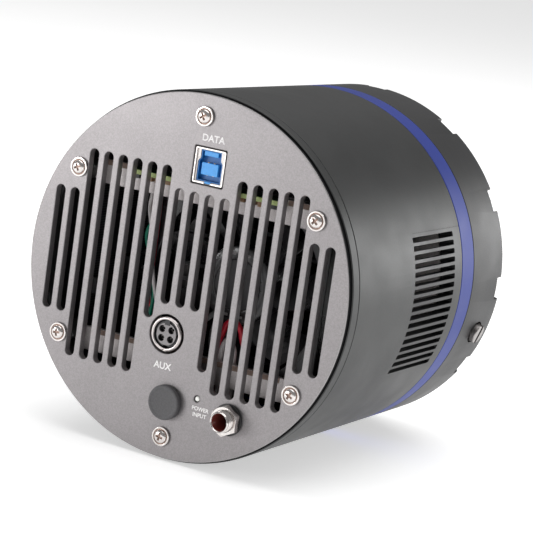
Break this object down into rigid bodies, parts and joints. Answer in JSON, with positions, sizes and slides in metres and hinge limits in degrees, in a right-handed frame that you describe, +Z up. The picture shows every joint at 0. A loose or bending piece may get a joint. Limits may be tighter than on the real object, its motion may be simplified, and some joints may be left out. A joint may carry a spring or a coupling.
{
  "type": "cooled astronomy camera",
  "caption": "Round cooled camera for a telescope: slotted rear plate with data, accessory and power sockets, vented shell with a blue ring, notched front housing and a windowed sensor chamber.",
  "frame": {"origin": "centre of the telescope-side face of the adapter ring, on the optical axis", "axes": "+Y along the optical axis towards the telescope, +Z up with the USB socket at the top, +X to the right for someone looking at the rear plate"},
  "size_m": [0.1304, 0.1448, 0.13],
  "materials": {
    "plate_grey": "bead-blasted grey anodising, satin",
    "shell_grey": "dark grey anodising, satin",
    "accent_blue": "blue anodising, satin",
    "nickel": "nickel plate, bright",
    "steel": "plain steel",
    "bare_aluminium": "bead-blasted aluminium",
    "black_anodised": "black anodising, satin",
    "black_plastic": "moulded black plastic",
    "rubber": "matt black rubber",
    "usb_blue": "moulded blue plastic",
    "insert_grey": "moulded grey plastic",
    "led_white": "clear white lens",
    "board_green": "green solder mask",
    "board_black": "black solder mask",
    "ceramic": "white alumina ceramic",
    "foam": "closed-cell black foam",
    "glass": "anti-reflection coated glass",
    "silicon": "polished silicon",
    "wire_green": "green insulation",
    "wire_white": "white insulation",
    "wire_red": "red insulation"
  },
  "bodies": {
    "camera_body": {"accent_ring": "accent_blue", "adapter_ring": "shell_grey", "aux_insert": "insert_grey", "aux_shell": "nickel", "bulkhead": "bare_aluminium", "chamber_window": "glass", "cold_block": "bare_aluminium", "cooler_module": "ceramic", "fan_bar_bottom": "bare_aluminium", "fan_bar_top": "bare_aluminium", "fan_frame": "black_plastic", "fan_stator": "steel", "fan_wire_green": "wire_green", "fan_wire_red": "wire_red", "fan_wire_white": "wire_white", "front_housing": "shell_grey", "heat_sink": "black_anodised", "image_sensor": "silicon", "insulation_ring": "foam", "io_board": "board_green", "jack_barrel": "nickel", "jack_nut": "nickel", "jack_pin": "nickel", "jack_washer": "black_plastic", "jack_wire_red": "wire_red", "jack_wire_white": "wire_white", "main_board": "board_black", "main_shell": "shell_grey", "power_board": "board_black", "rear_plate": "plate_grey", "rear_ring": "shell_grey", "rear_screw_1": "nickel", "rear_screw_2": "nickel", "rear_screw_3": "nickel", "rear_screw_4": "nickel", "rear_screw_5": "nickel", "rear_screw_6": "nickel", "rim_screw_1": "nickel", "rim_screw_10": "nickel", "rim_screw_11": "nickel", "rim_screw_12": "nickel", "rim_screw_2": "nickel", "rim_screw_3": "nickel", "rim_screw_4": "nickel", "rim_screw_5": "nickel", "rim_screw_6": "nickel", "rim_screw_7": "nickel", "rim_screw_8": "nickel", "rim_screw_9": "nickel", "sensor_board": "board_black", "sensor_package": "ceramic", "status_led": "led_white", "usb_insulator": "usb_blue", "usb_shell": "nickel", "window_retainer": "black_anodised", "window_seal": "rubber"},
    "fan": {"fan_rotor": "black_plastic", "fan_shaft": "steel"},
    "hole_plug": {"hole_plug": "rubber"},
    "port_screw": {"port_screw": "nickel"}
  },
  "joints": [
    {"name": "fan_spin", "type": "hinge", "parent": "camera_body", "child": "fan", "pos_m": [0.012, -0.1145, -0.0015], "axis": [0, 1, 0], "continuous": true},
    {"name": "plug_pull", "type": "slide", "parent": "camera_body", "child": "hole_plug", "axis": [0, -1, 0], "range_m": [0, 0.02]},
    {"name": "port_screw_out", "type": "slide", "parent": "camera_body", "child": "port_screw", "axis": [0.9603, 0, -0.279], "range_m": [0, 0.012]}
  ]
}
